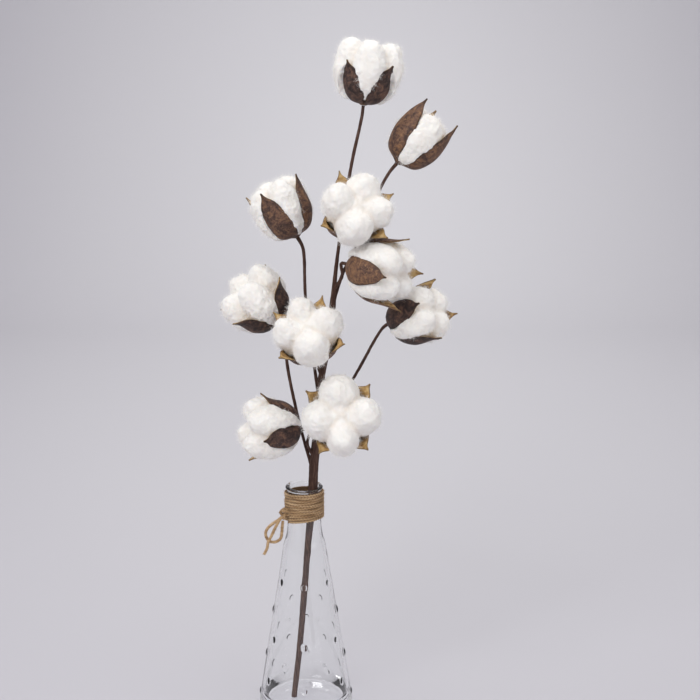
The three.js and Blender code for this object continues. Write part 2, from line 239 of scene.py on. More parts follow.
def spaced(route, count):
    """count + 1 points at even distances along a smooth curve through a route."""
    points = [Vector(p) for p in route]
    fine = [along(points, i / (count * 4)) for i in range(count * 4 + 1)]
    reach = [0.0]
    for a, b in zip(fine, fine[1:]):
        reach.append(reach[-1] + (b - a).length)
    even, i = [], 0
    for k in range(count + 1):
        goal = reach[-1] * k / count
        while i < len(reach) - 2 and reach[i + 1] < goal:
            i += 1
        step = reach[i + 1] - reach[i]
        even.append(fine[i].lerp(fine[i + 1], (goal - reach[i]) / step if step else 0))
    return even


def route_length(points):
    return sum((b - a).length for a, b in zip(points, points[1:]))


def ring_frames(points):
    """A matrix at each point that turns +Z along the curve without twisting round it."""
    frames, side = [], None
    for i, point in enumerate(points):
        ahead = (points[min(i + 1, len(points) - 1)] - points[max(i - 1, 0)]).normalized()
        if side is None:
            side = ahead.orthogonal().normalized()
        side = (side - ahead * side.dot(ahead)).normalized()
        other = ahead.cross(side)
        turned = Matrix((side, other, ahead)).transposed().to_4x4()
        frames.append(Matrix.Translation(point) @ turned)
    return frames


def sweep(bm, points, radius_at, sides):
    """A closed round rod through points. radius_at gives the radius at the fraction along it."""
    frames = ring_frames(points)
    last = len(points) - 1
    made = bmesh.ops.create_circle(
        bm, cap_ends=True, segments=sides, radius=1, matrix=frames[0] @ Matrix.Scale(radius_at(0), 4)
    )
    face = made["verts"][0].link_faces[0]
    for i in range(1, last + 1):
        old, new = frames[i - 1], frames[i]
        size = radius_at(i / last) / radius_at((i - 1) / last)
        face = bmesh.ops.extrude_discrete_faces(bm, faces=[face])["faces"][0]
        move = new @ Matrix.Scale(size, 4) @ old.inverted()
        bmesh.ops.transform(bm, matrix=move, verts=face.verts)
    rim = [e for v in made["verts"] for e in v.link_edges if e.is_boundary]
    bmesh.ops.holes_fill(bm, edges=list(set(rim)), sides=sides)


def gather(parts):
    """Joins several bmeshes in one."""
    whole = bmesh.new()
    for bm in parts:
        bmesh.ops.recalc_face_normals(bm, faces=bm.faces)
        mesh = bpy.data.meshes.new("part")
        bm.to_mesh(mesh)
        bm.free()
        whole.from_mesh(mesh)
        bpy.data.meshes.remove(mesh)
    return whole


def finish(bm, name, *looks):
    """Turns a bmesh in millimetres into an object of those looks, in metres, facing outwards."""
    bmesh.ops.recalc_face_normals(bm, faces=bm.faces)
    bmesh.ops.scale(bm, vec=(MM, MM, MM), verts=bm.verts)
    mesh = bpy.data.meshes.new(name)
    bm.to_mesh(mesh)
    bm.free()
    for look in looks:
        mesh.materials.append(look)
    mesh.polygons.foreach_set("use_smooth", [True] * len(mesh.polygons))
    piece = bpy.data.objects.new(name, mesh)
    bpy.context.scene.collection.objects.link(piece)
    return piece


def place(piece, slot, *nodes):
    """Puts a piece on the object in the stead of CAD nodes."""
    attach(piece, "root")
    if nodes:
        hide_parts(*nodes)
    return piece


def apply_modifiers(piece):
    """Puts the mesh that a piece's modifiers make in the place of its own."""
    seen = piece.evaluated_get(bpy.context.evaluated_depsgraph_get())
    mesh = bpy.data.meshes.new_from_object(seen)
    piece.modifiers.clear()
    old = piece.data
    piece.data = mesh
    bpy.data.meshes.remove(old)


def remesh(piece, voxel):
    """Fuses a piece's overlapping shells into one even skin."""
    modifier = piece.modifiers.new("skin", "REMESH")
    modifier.mode = "VOXEL"
    modifier.voxel_size = voxel * MM
    modifier.use_smooth_shade = True
    apply_modifiers(piece)


# ---- Fibres ----


def fibre_tufts(rng, kinds, count, patch, length, width, lift):
    """Kinds of tuft: flat tapering fibres that lie over a small patch and curl up off it along +Z."""
    tufts = []
    for _ in range(kinds):
        bm = bmesh.new()
        for _ in range(count):
            fibre = bmesh.ops.create_grid(bm, x_segments=1, y_segments=3, size=1)["verts"]
            foot = Vector((rng.uniform(-patch, patch), rng.uniform(-patch, patch), -0.3))
            heading = Matrix.Rotation(rng.uniform(0, math.tau), 3, "Z")
            rise = math.radians(rng.uniform(*lift))
            reach = rng.uniform(*length)
            curl = Vector((rng.uniform(-0.4, 0.4), 0, rng.uniform(-0.25, 0.25))) * reach
            for v in fibre:
                t = (v.co.y + 1) / 2
                across = v.co.x * width * (1 - 0.7 * t) / 2
                path = Vector((across, t * reach * math.cos(rise), t * reach * math.sin(rise)))
                v.co = foot + heading @ (path + curl * t * t)
        mesh = bpy.data.meshes.new("tuft")
        bm.to_mesh(mesh)
        bm.free()
        tufts.append(mesh)
    return tufts


def plant(bm, tufts, rng, foot, out):
    """Adds one of the tufts at foot, with its +Z turned to out."""
    mesh = rng.choice(tufts)
    turn = out.to_track_quat("Z", "Y").to_matrix().to_4x4()
    spin = Matrix.Rotation(rng.uniform(0, math.tau), 4, "Z")
    move = Matrix.Translation(foot) @ turn @ spin
    mesh.transform(move)
    bm.from_mesh(mesh)
    mesh.transform(move.inverted())


def clear(tufts):
    """Removes the kinds of tuft once all are planted."""
    for mesh in tufts:
        bpy.data.meshes.remove(mesh)


# ---- Materials ----


class Look:
    """A Principled material with a few nodes, built from the shader backwards."""

    def __init__(self, name, **sockets):
        self.material = bpy.data.materials.new(name)
        self.material.use_nodes = True
        self.nodes = self.material.node_tree.nodes
        self.links = self.material.node_tree.links
        self.shader = self.nodes["Principled BSDF"]
        self.coordinates = self.nodes.new("ShaderNodeTexCoord").outputs["Object"]
        for socket, value in sockets.items():
            self.shader.inputs[socket.replace("_", " ")].default_value = value

    def link(self, output, socket):
        self.links.new(output, self.shader.inputs[socket] if isinstance(socket, str) else socket)

    def add(self, kind, output, inputs, **settings):
        node = self.nodes.new(kind)
        for setting, value in settings.items():
            setattr(node, setting, value)
        for name, value in inputs.items():
            if isinstance(value, bpy.types.NodeSocket):
                self.links.new(value, node.inputs[name])
            else:
                node.inputs[name].default_value = value
        return node.outputs[output]

    def stretched(self, scale):
        """Object coordinates with each axis scaled."""
        return self.add("ShaderNodeMapping", "Vector", {"Vector": self.coordinates, "Scale": scale})

    def noise(self, size, detail=3.0, roughness=0.55, distortion=0.0, vector=None):
        """A noise whose features are about size millimetres across."""
        return self.add(
            "ShaderNodeTexNoise",
            "Fac",
            {"Vector": vector or self.coordinates, "Scale": 1 / (size * MM), "Detail": detail,
             "Roughness": roughness, "Distortion": distortion},
        )

    def ramp(self, value, stops):
        """Colours or shares of grey at places from 0 to 1 along a value."""
        node = self.nodes.new("ShaderNodeValToRGB")
        self.links.new(value, node.inputs["Fac"])
        elements = node.color_ramp.elements
        while len(elements) < len(stops):
            elements.new(0.5)
        for element, (position, colour) in zip(elements, stops):
            element.position = position
            element.color = (*colour, 1) if isinstance(colour, tuple) else (colour, colour, colour, 1)
        return node.outputs["Color"]

    def blend(self, share, a, b):
        """Mixes colour b over colour a by a share."""
        node = self.nodes.new("ShaderNodeMix")
        node.data_type = "RGBA"
        for name, value in ((0, share), (6, a), (7, b)):
            if isinstance(value, bpy.types.NodeSocket):
                self.links.new(value, node.inputs[name])
            else:
                node.inputs[name].default_value = (*value, 1) if isinstance(value, tuple) else value
        return node.outputs[2]

    def attribute(self, name):
        """A share from 0 to 1 that the mesh carries at each point."""
        return self.add("ShaderNodeAttribute", "Fac", {}, attribute_name=name)

    def sum(self, a, b):
        return self.add("ShaderNodeMath", "Value", {0: a, 1: b}, operation="ADD")

    def times(self, a, b):
        return self.add("ShaderNodeMath", "Value", {0: a, 1: b}, operation="MULTIPLY")

    def bump(self, height, distance, strength=1.0, normal=None):
        inputs = {"Height": height, "Distance": distance * MM, "Strength": strength}
        if normal is not None:
            inputs["Normal"] = normal
        return self.add("ShaderNodeBump", "Normal", inputs)


def glass_look():
    """Clear, slightly wavy glass that lets shadow rays and bounced light straight through."""
    look = Look("clear_glass", Roughness=0.0, IOR=1.45, Transmission_Weight=1.0)
    look.shader.inputs["Base Color"].default_value = (*COLOURS["glass"], 1)
    wave = look.noise(16, 2, 0.4, 0.0, look.stretched((1, 1, 0.4)))
    look.link(look.bump(wave, 0.5, 0.35), "Normal")
    through = look.nodes.new("ShaderNodeBsdfTransparent")
    through.inputs["Color"].default_value = (*COLOURS["glass_shadow"], 1)
    path = look.nodes.new("ShaderNodeLightPath")
    shader = look.shader.outputs["BSDF"]
    for ray in ("Is Diffuse Ray", "Is Shadow Ray"):
        either = look.nodes.new("ShaderNodeMixShader")
        look.links.new(path.outputs[ray], either.inputs["Fac"])
        look.links.new(shader, either.inputs[1])
        look.links.new(through.outputs["BSDF"], either.inputs[2])
        shader = either.outputs["Shader"]
    look.links.new(shader, look.nodes["Material Output"].inputs["Surface"])
    return look.material


def cotton_look():
    """Soft white lint with fine strands, with painted shade in the creases between the locks: warmer and
    darker there.
    """
    look = Look(
        "cotton_lint", Roughness=1.0, Subsurface_Weight=0.25, Subsurface_Scale=0.003, Sheen_Weight=0.15,
        Sheen_Roughness=0.6, Specular_IOR_Level=0.08,
    )
    look.shader.inputs["Subsurface Radius"].default_value = (1, 0.85, 0.7)
    shade = look.noise(9, 4)
    colour = look.ramp(shade, [(0.3, COLOURS["cotton_shade"]), (0.7, COLOURS["cotton"])])
    # Painted shade: the colour turns warmer and darker in the creases between locks, where shade falls.
    crease = look.attribute("fold_depth")
    crease_shade = look.ramp(crease, [(0.15, 0.0), (1.0, 0.6)])
    colour = look.blend(crease_shade, colour, COLOURS["cotton_painted_crease_shade"])
    look.link(colour, "Base Color")
    tufts = look.noise(2.2, 6, 0.7, 1.2)
    strands = look.noise(0.5, 3, 0.6, 2.0)
    bumped = look.bump(tufts, 0.8, 0.6)
    look.link(look.bump(strands, 0.25, 0.5, bumped), "Normal")
    return look.material


def lint_fibre_look():
    look = Look("lint_fibre", Roughness=0.9, Specular_IOR_Level=0.1)
    look.shader.inputs["Base Color"].default_value = (*COLOURS["cotton_fibre"], 1)
    return look.material


def husk_outside_look():
    """Dry brown skin: near black to rusty by the valve, blotched, speckled and dark along its rim."""
    look = Look("husk_outside", Specular_IOR_Level=0.3)
    tone = look.attribute("tone")
    blotch = look.ramp(look.noise(6, 6, 0.65, 0.8), [(0.36, 0.0), (0.64, 0.6)])
    colour = look.ramp(look.sum(blotch, look.times(tone, 0.45)), [
        (0.08, COLOURS["husk_black"]), (0.35, COLOURS["husk_dark"]), (0.62, COLOURS["husk_brown"]),
        (0.95, COLOURS["husk_rust"]),
    ])
    fleck = look.noise(2.2, 4, 0.7)
    flecks = look.times(look.ramp(fleck, [(0.55, 0.0), (0.64, 1.0)]), tone)
    colour = look.blend(flecks, colour, COLOURS["husk_fleck"])
    specks = look.ramp(look.noise(1.3, 3, 0.6), [(0.34, 0.7), (0.44, 0.0)])
    colour = look.blend(specks, colour, COLOURS["husk_speck"])
    edge = look.ramp(look.attribute("rim"), [(0.35, 0.0), (1.0, 0.85)])
    colour = look.blend(edge, colour, COLOURS["husk_rim"])
    look.link(colour, "Base Color")
    look.link(look.ramp(fleck, [(0.3, 0.75), (0.7, 0.5)]), "Roughness")
    look.link(look.bump(look.noise(1.6, 5, 0.65), 0.5, 0.7), "Normal")
    return look.material


def husk_inside_look():
    """Golden lining, darker in blotches and towards the tip."""
    look = Look("husk_inside", Specular_IOR_Level=0.4)
    blotch = look.noise(4, 4)
    colour = look.ramp(blotch, [
        (0.32, COLOURS["lining_brown"]), (0.5, COLOURS["lining_gold"]), (0.7, COLOURS["lining_straw"]),
    ])
    edge = look.ramp(look.attribute("rim"), [(0.55, 0.0), (1.0, 0.7)])
    colour = look.blend(edge, colour, COLOURS["lining_rim"])
    look.link(colour, "Base Color")
    look.link(look.ramp(blotch, [(0.3, 0.6), (0.7, 0.42)]), "Roughness")
    look.link(look.bump(look.noise(0.9, 4), 0.2, 0.5), "Normal")
    return look.material


def bark_look():
    """Dry brown bark, streaked along the stem and lighter in patches."""
    look = Look("bark", Specular_IOR_Level=0.25)
    streaks = look.noise(1.3, 5, 0.6, 0.4, look.stretched((1, 1, 0.14)))
    patches = look.noise(13, 3)
    colour = look.ramp(streaks, [
        (0.3, COLOURS["bark_dark"]), (0.5, COLOURS["bark"]), (0.72, COLOURS["bark_light"]),
    ])
    paler = look.ramp(patches, [(0.42, 0.0), (0.7, 0.45)])
    colour = look.blend(paler, colour, COLOURS["bark_patch"])
    look.link(colour, "Base Color")
    look.link(look.ramp(streaks, [(0.3, 0.85), (0.7, 0.6)]), "Roughness")
    look.link(look.bump(streaks, 0.6, 0.8), "Normal")
    return look.material


def jute_look():
    """Golden brown bast, each turn a shade of its own, with dark fibres between the plies and painted
    shade where the twine lies deepest against the neck.
    """
    look = Look("jute", Roughness=0.9, Sheen_Weight=0.25, Sheen_Roughness=0.4, Specular_IOR_Level=0.15)
    tone = look.noise(2.4, 3, 0.6, 0.0, look.stretched((0.12, 0.12, 1)))
    colour = look.ramp(tone, [
        (0.32, COLOURS["jute_brown"]), (0.5, COLOURS["jute"]), (0.7, COLOURS["jute_straw"]),
    ])
    fine = look.noise(0.5, 3, 0.6)
    fibres = look.ramp(fine, [(0.36, 0.6), (0.54, 0.0)])
    colour = look.blend(fibres, colour, COLOURS["jute_fibre"])
    # Painted shade: the twine is coloured darker where it lies nearest the neck, deep between the turns.
    gap = look.ramp(look.attribute("depth"), [(0.3, 0.0), (0.85, 0.85)])
    colour = look.blend(gap, colour, COLOURS["jute_painted_gap_shade"])
    look.link(colour, "Base Color")
    look.link(look.bump(look.noise(0.35, 4, 0.6), 0.25, 0.9), "Normal")
    return look.material


LOOKS = {
    "glass": glass_look(),
    "cotton": cotton_look(),
    "lint": lint_fibre_look(),
    "husk": husk_outside_look(),
    "husk_inside": husk_inside_look(),
    "bark": bark_look(),
    "jute": jute_look(),
}


# ---- Camera, floor and light ----


def camera():
    data = bpy.data.cameras.new("camera")
    data.lens = CAMERA["lens"]
    data.sensor_width = CAMERA["sensor"]
    data.clip_end = 20
    seen = bpy.data.objects.new("camera", data)
    seen.location = Vector(CAMERA["place"]) * MM
    seen.rotation_euler = (math.radians(90 - CAMERA["down"]), 0, 0)
    bpy.context.scene.collection.objects.link(seen)
    bpy.context.scene.camera = seen


def studio_floor():
    """A pale floor that sweeps up into the backdrop, with painted light: lighter in a pool and darker
    away from it.
    """
    look = Look("studio_floor", Roughness=0.9, Specular_IOR_Level=0.1)
    # Painted light: a spherical pool that colours the floor and backdrop lighter in its middle and darker
    # towards its edges.
    centre = look.add(
        "ShaderNodeMapping", "Vector",
        {"Vector": look.coordinates, "Location": FLOOR_LIGHT_POOL["place"], "Scale": FLOOR_LIGHT_POOL["scale"]},
    )
    pool = look.add("ShaderNodeTexGradient", "Fac", {"Vector": centre}, gradient_type="SPHERICAL")
    colour = look.ramp(pool, [
        (0.45, COLOURS["floor_painted_dim"]), (0.6, COLOURS["floor"]), (0.95, COLOURS["floor_painted_lit"]),
    ])
    look.link(colour, "Base Color")
    fold, radius, half_width = BACKDROP["fold"], BACKDROP["radius"], BACKDROP["half_width"]
    profile = [(BACKDROP["front"], -FLOOR_GAP), (fold, -FLOOR_GAP)]
    for i in range(1, BACKDROP["steps"] + 1):
        angle = math.pi / 2 * i / BACKDROP["steps"]
        profile.append((fold + radius * math.sin(angle), radius - radius * math.cos(angle) - FLOOR_GAP))
    profile.append((fold + radius, BACKDROP["rise"]))
    bm = bmesh.new()
    corners = [bm.verts.new((-half_width, y, z)) for y, z in profile]
    edges = [bm.edges.new(pair) for pair in zip(corners, corners[1:])]
    made = bmesh.ops.extrude_edge_only(bm, edges=edges)["geom"]
    verts = [v for v in made if isinstance(v, bmesh.types.BMVert)]
    bmesh.ops.translate(bm, vec=(2 * half_width, 0, 0), verts=verts)
    floor = finish(bm, "studio_floor", look.material)


def lamp(name, spot, aim, size, power):
    """A square soft lamp at spot, turned to aim."""
    data = bpy.data.lights.new(name, "AREA")
    data.shape = "SQUARE"
    data.size = size
    data.energy = power
    light = bpy.data.objects.new(name, data)
    light.location = Vector(spot)
    light.rotation_euler = (Vector(aim) - Vector(spot)).to_track_quat("-Z", "Y").to_euler()
    bpy.context.scene.collection.objects.link(light)


def light():
    world = bpy.data.worlds.new("soft_room")
    world.use_nodes = True
    background = world.node_tree.nodes["Background"]
    background.inputs["Color"].default_value = (*ROOM_LIGHT["colour"], 1)
    background.inputs["Strength"].default_value = ROOM_LIGHT["strength"]
    bpy.context.scene.world = world
    for name, settings in LAMPS.items():
        lamp(name, *settings)
    view = bpy.context.scene.view_settings
    view.view_transform = "Standard"
    view.look = "None"


# ---- Twine ----


def ply(bm, points, turns, phase, offset, radius, sides):
    """One ply of a twisted cord: a rod that winds round the cord's own middle line."""
    frames = ring_frames(points)
    last = len(points) - 1
    winding = []
    for i, ring in enumerate(frames):
        angle = math.tau * turns * i / last + phase
        winding.append(ring @ Vector((offset * math.cos(angle), offset * math.sin(angle), 0)))
    sweep(bm, winding, lambda t: radius, sides)


def twisted(points, thickness, strands=2, sides=6):
    """Strands twisted together along points, which lie a small part of a twist apart."""
    turns = route_length(points) / TWIST_PITCH
    plies = []
    for k in range(strands):
        bm = bmesh.new()
        phase = math.tau * k / strands
        ply(bm, points, turns, phase, thickness * PLY["offset"], thickness * PLY["radius"], sides)
        plies.append(bm)
    return gather(plies)


def fuzz_along(bm, points, thickness, per_mm, longest, seed):
    """Loose jute hairs that stand off a cord all along it."""
    rng = random.Random(seed)
    tufts = fibre_tufts(
        rng, kinds=8, count=3, patch=0.5, length=(longest * 0.4, longest), width=0.12, lift=(10, 75)
    )
    frames = ring_frames(points)
    for _ in range(int(route_length(points) * per_mm)):
        ring = rng.choice(frames)
        angle = rng.uniform(0, math.tau)
        out = (ring.to_3x3() @ Vector((math.cos(angle), math.sin(angle), 0))).normalized()
        plant(bm, tufts, rng, ring.translation + out * thickness * 0.4, out)
    clear(tufts)


def free_twine(name, node, route, seed):
    """A loose end or loop of the twine, hanging from the knot."""
    length = route_length(spaced(route, 60))
    points = spaced(route, round(length / TWIST_PITCH * POINTS_PER_TWIST["loose"]))
    piece = finish(twisted(points, LOOSE_TWINE, 3), name, LOOKS["jute"])
    place(piece, "jute", node)
    hairs = bmesh.new()
    fuzz_along(hairs, points, LOOSE_TWINE, per_mm=1.6, longest=2.6, seed=seed)
    hair_piece = place(finish(hairs, f"{name}_hairs", LOOKS["jute"]), "jute")


def wrap_points(radius, bottom, top, turns):
    """Wound twine's middle line: level turns, each a little uneven, that step up beside the knot."""
    per_turn = round(math.tau * radius / TWIST_PITCH * POINTS_PER_TWIST["wound"])
    start = math.radians(KNOT["azimuth"])
    points = []
    for i in range(per_turn * turns + 1):
        turn, part = divmod(i / per_turn, 1)
        if turn < turns - 1:
            turn += max((part - (1 - WRAP_STEP_UP)) / WRAP_STEP_UP, 0)
        share = min(turn / (turns - 1), 1)
        angle = start + math.tau * i / per_turn
        spot = Vector((math.cos(angle), math.sin(angle), i / per_turn * WRAP_UNEVENNESS["per_turn"]))
        uneven, loose = noise.noise(spot * 1.1), noise.noise(spot + Vector((5, 5, 5)))
        out = radius + WRAP_UNEVENNESS["sideways"] * max(loose, -0.3) + 0.1
        x, y = out * math.cos(angle), out * math.sin(angle)
        slant = [mix(a, b, share) for a, b in zip(WRAP_SLANT["bottom"], WRAP_SLANT["top"])]
        wander = WRAP_UNEVENNESS["upward"] * uneven * math.sin(math.pi * share) ** 0.4
        z = mix(bottom, top, share) + wander
        points.append(Vector((x, y, z + slant[0] * x + slant[1] * y)))
    return points


def knot_points():
    """A small overhand knot of the same twine."""
    points = []
    sx, sy, sz = ((side - TWINE) / 2 for side in KNOT["size"])
    for i in range(61):
        t = math.tau * i / 60
        x = (math.sin(t) + 2 * math.sin(2 * t)) / 2.6
        y = (math.cos(t) - 2 * math.cos(2 * t)) / 2.6
        z = -math.sin(3 * t)
        points.append(Vector((KNOT["radius"] + z * sx, x * sy, KNOT["height"] + y * sz)))
    turn = Matrix.Rotation(math.radians(KNOT["azimuth"]), 4, "Z")
    return [turn @ p for p in points]


def twine():
    """The wound twine with its knot, and the loop and end that hang from it."""
    free_twine("jute_loop", "twine_loop", LOOP_ROUTE, 5)
    free_twine("jute_tail", "twine_tail", TAIL_ROUTE, 6)
    low, high, turns = WRAP["bottom"], WRAP["top"], WRAP["turns"]
    middle = NECK_RADIUS + WRAP_GAP + TWINE / 2
    wound = wrap_points(middle, low + TWINE / 2, high - TWINE / 2, turns)
    pitch = (high - low - TWINE) / (turns - 1)
    inner = NECK_RADIUS + WRAP_GAP + UNDER_TWINE / 2
    under = wrap_points(inner, low + (TWINE + pitch) / 2, high - (TWINE + pitch) / 2, turns - 1)
    knotted = spaced(knot_points(), 110)
    whole = gather([
        twisted(wound, TWINE), twisted(under, UNDER_TWINE, 2, 5), twisted(knotted, LOOSE_TWINE, 3),
    ])
    # The share of painted shade on the twine: full on its inner half next to the neck, none on its outer
    # face.
    gap_shade_depths = whole.verts.layers.float.new("depth")
    for v in whole.verts:
        from_neck = math.hypot(v.co.x, v.co.y) - NECK_RADIUS - WRAP_GAP
        v[gap_shade_depths] = min(max((TWINE - from_neck) / (TWINE / 2), 0), 1)
    fuzz_along(whole, wound, TWINE, per_mm=1.1, longest=2.4, seed=7)
    fuzz_along(whole, knotted, LOOSE_TWINE, per_mm=1.4, longest=2.8, seed=8)
    place(finish(whole, "jute_wrap", LOOKS["jute"]), "jute", "twine_wrap")


# ---- Vase ----


def cone_radius(z):
    """The outside radius of the vase's cone at a height."""
    (r0, z0), (r1, z1) = CONE_BOTTOM, CONE_TOP
    return mix(r0, r1, (z - z0) / (z1 - z0))


def upright(pairs):
    """Points in the plane through the vase's axis from (radius, height) pairs."""
    return [Vector((r, 0, z)) for r, z in pairs]


def vase_profile():
    """(radius, height) pairs from the foot's middle, up the outside, over the lip and down inside."""
    bore = NECK_RADIUS - NECK_WALL
    outside = [(0, 0), (BASE_RADIUS - FOOT_ROUNDING - 2, 0)]
    for i in range(7):
        angle = math.pi / 2 * i / 6
        outside.append((
            BASE_RADIUS - FOOT_ROUNDING + FOOT_ROUNDING * math.sin(angle),
            FOOT_ROUNDING - FOOT_ROUNDING * math.cos(angle),
        ))
    outside.append((BASE_RADIUS, FOOT_TOP))
    for i in range(CONE_RINGS + 1):
        z = mix(CONE_BOTTOM[1], CONE_TOP[1], i / CONE_RINGS)
        outside.append((cone_radius(z), z))
    start = SHOULDER["start"]
    shoulder = upright([
        (cone_radius(start), start), CONE_TOP, SHOULDER["middle"], (NECK_RADIUS, NECK_BOTTOM),
        (NECK_RADIUS, SHOULDER["end"]),
    ])
    for i in range(1, 13):
        p = along(shoulder, 0.25 + 0.5 * i / 12)
        outside.append((p.x, p.z))
    outside += [(NECK_RADIUS, 180), (NECK_RADIUS, LIP_BOTTOM - 1), (NECK_RADIUS + 0.2, LIP_BOTTOM - 0.3)]
    middle = (LIP_RADIUS + bore) / 2
    half = (LIP_RADIUS - bore) / 2
    crest = VASE_HEIGHT - LIP_ROUNDING
    lip = [(LIP_RADIUS - 0.6, LIP_BOTTOM + 0.15), (LIP_RADIUS - 0.15, LIP_BOTTOM + 0.4)]
    for i in range(13):
        angle = math.pi * i / 12
        lip.append((middle + half * math.cos(angle), crest + LIP_ROUNDING * math.sin(angle)))
    inside = [(bore, 195), (bore, 190), (bore, 175)]
    start, corner_top, wall = INNER_SHOULDER["start"], FLOOR_CORNER["top"], FLOOR_CORNER["wall"]
    hollow = upright([
        (bore, SHOULDER["end"]), (bore, NECK_BOTTOM - 1), INNER_SHOULDER["middle"],
        (CONE_TOP[0] - CONE_WALL, CONE_TOP[1]), (cone_radius(start) - CONE_WALL, start),
    ])
    for i in range(1, 17):
        p = along(hollow, i / 16)
        inside.append((p.x, p.z))
    for i in range(1, 11):
        z = mix(start, corner_top, i / 10)
        inside.append((cone_radius(z) - CONE_WALL, z))
    corner = upright([
        (cone_radius(corner_top) - CONE_WALL, corner_top),
        (cone_radius(wall) - CONE_WALL - 0.3, wall - 1),
        *((r, FLOOR_THICKNESS + rise) for r, rise in FLOOR_CORNER["curve"]),
    ])
    for i in range(1, 13):
        p = along(corner, i / 12)
        inside.append((p.x, p.z))
    inside.append((0, FLOOR_THICKNESS))
    return outside + lip + inside


def hobnail_sites():
    """The middle of each bump on the cone and its direction out of the glass."""
    (r0, z0), (r1, z1) = CONE_BOTTOM, CONE_TOP
    slope = math.atan2(r0 - r1, z1 - z0)
    sites = []
    for row, z in enumerate(HOBNAIL_ROWS):
        for i in range(HOBNAILS_PER_ROW):
            azimuth = math.tau * (i + (row % 2) / 2) / HOBNAILS_PER_ROW
            turn = Matrix.Rotation(azimuth, 4, "Z")
            spot = turn @ Vector((cone_radius(z), 0, z))
            out = turn @ Vector((math.cos(slope), 0, math.sin(slope)))
            sites.append((spot, out))
    return sites


def raise_hobnails(bm):
    """Makes the skin finer at each site and swells it into a smooth oval bump."""
    wide, tall = HOBNAIL["width"] / 2, HOBNAIL["height"] / 2
    for spot, out in hobnail_sites():
        reach = max(wide, tall) * HOBNAIL["reach"]
        for _ in range(2):
            near = dict.fromkeys(
                e for v in bm.verts if (v.co - spot).length < reach and v.normal.dot(out) > 0.5
                for e in v.link_edges
            )
            if near:
                bmesh.ops.subdivide_edges(bm, edges=list(near), cuts=1, use_grid_fill=True)
            bm.normal_update()
        side = Vector((0, 0, 1)).cross(out).normalized()
        up = out.cross(side)
        for v in bm.verts:
            away = v.co - spot
            if away.length > reach or v.normal.dot(out) < 0.5:
                continue
            d = math.hypot(away.dot(side) / wide, away.dot(up) / tall)
            if d < HOBNAIL["skirt"]:
                v.co += out * HOBNAIL["relief"] * (1 - (d / HOBNAIL["skirt"]) ** 2) ** HOBNAIL["fullness"]


def vase():
    """The glass vase: one closed skin, turned from its profile."""
    bm = bmesh.new()
    corners = [bm.verts.new((r, 0, z)) for r, z in vase_profile()]
    edges = [bm.edges.new(pair) for pair in zip(corners, corners[1:])]
    bmesh.ops.spin(
        bm, geom=corners + edges, cent=(0, 0, 0), axis=(0, 0, 1), angle=math.tau, steps=VASE_SEGMENTS,
        use_merge=True,
    )
    bmesh.ops.remove_doubles(bm, verts=bm.verts, dist=0.001)
    bmesh.ops.recalc_face_normals(bm, faces=bm.faces)
    bm.normal_update()
    raise_hobnails(bm)
    place(finish(bm, "hobnail_vase", LOOKS["glass"]), "glass", "vase_glass")


# ---- Stem ----


def boll_pose(form):
    """The matrix from a boll's own millimetres to its place on the stem."""
    axis_turn = Matrix.Rotation(math.radians(form["turn"]), 4, "Z") @ Matrix.Rotation(
        math.radians(form["lean"]), 4, "Y"
    )
    roll = Matrix.Rotation(math.radians(form["roll"] - form["turn"]), 4, "Z")
    return Matrix.Translation(form["foot"]) @ axis_turn @ roll @ Matrix.Scale(form["size"], 4)


def under_boll(form):
    """The last stretch of the twig, straight up the boll's axis."""
    pose = boll_pose(form)
    axis = (pose.to_3x3() @ Vector((0, 0, 1))).normalized()
    return [pose.translation - axis * STALK_LENGTH, pose.translation - axis * 0.2]


def rough_bark(bm, seed):
    """Gives a rod the small swellings and scars of a dry stem."""
    bm.normal_update()
    for v in bm.verts:
        spot = v.co + Vector((seed * 31, 0, 0))
        broad = noise.noise(spot * 0.09)
        fine = noise.noise(Vector((spot.x * 0.9, spot.y * 0.9, spot.z * 0.25)))
        v.co += v.normal * (BARK_RELIEF["swellings"] * broad + BARK_RELIEF["scars"] * fine)


def stem():
    """The main stem and its twigs, each swollen a little where it branches off and under its boll."""
    rods, routes = [], []
    main = [Vector(p) for p in STEM_ROUTE] + under_boll(BOLLS[0])
    points = spaced(main, 300)
    routes.append((points, [between(STEM_RADIUS, p.z) for p in points], 14))
    for form in BOLLS[1:]:
        points = spaced([Vector(p) for p in form["twig"]] + under_boll(form), 60)
        last = len(points) - 1
        radii = []
        for i in range(last + 1):
            t = i / last
            root = TWIG_SWELLING["root"] * math.exp(-t * TWIG_SWELLING["root_fade"])
            tip = TWIG_SWELLING["tip"] * math.exp(-((1 - t) * TWIG_SWELLING["tip_fade"]))
            radii.append(TWIG_RADIUS * (1 + root + tip))
        routes.append((points, radii, 10))
    for seed, (points, radii, sides) in enumerate(routes):
        bm = bmesh.new()
        last = len(points) - 1
        sweep(bm, points, lambda t, radii=radii, last=last: radii[round(t * last)], sides)
        bmesh.ops.recalc_face_normals(bm, faces=bm.faces)
        rough_bark(bm, seed)
        rods.append(bm)
    place(finish(gather(rods), "cotton_stem", LOOKS["bark"]), "bark", "branch")


# ---- Bolls ----


def half_width(t):
    """Half of a valve's width at the fraction t of its length."""
    leaf = math.sin(math.pi * t**1.02) ** 0.72 * (1 - 0.38 * t**3) if 0 < t < 1 else 0
    spur = min(max((t - 0.83) / 0.12, 0), 1)
    leaf *= 1 - 0.5 * spur * spur * (3 - 2 * spur)
    return max(VALVE["width"] / 2 * leaf, VALVE["base"] * (1 - t) ** 4, VALVE["tip"])


def valve_angles(form):
    """The angle of each valve round the bur."""
    skew = form.get("skew", (0,) * form["locks"])
    return [math.tau * i / form["locks"] + math.radians(skew[i]) for i in range(form["locks"])]


def valve_midline(form):
    """The curve up the middle of a valve, between its closed and its open shape."""
    points = []
    for (r0, z0), (r1, z1) in zip(CLOSED_VALVE, OPEN_VALVE):
        points.append(Vector((mix(r0, r1, form["open"]), 0, mix(z0, z1, form["open"]))) * form["reach"])
    return points


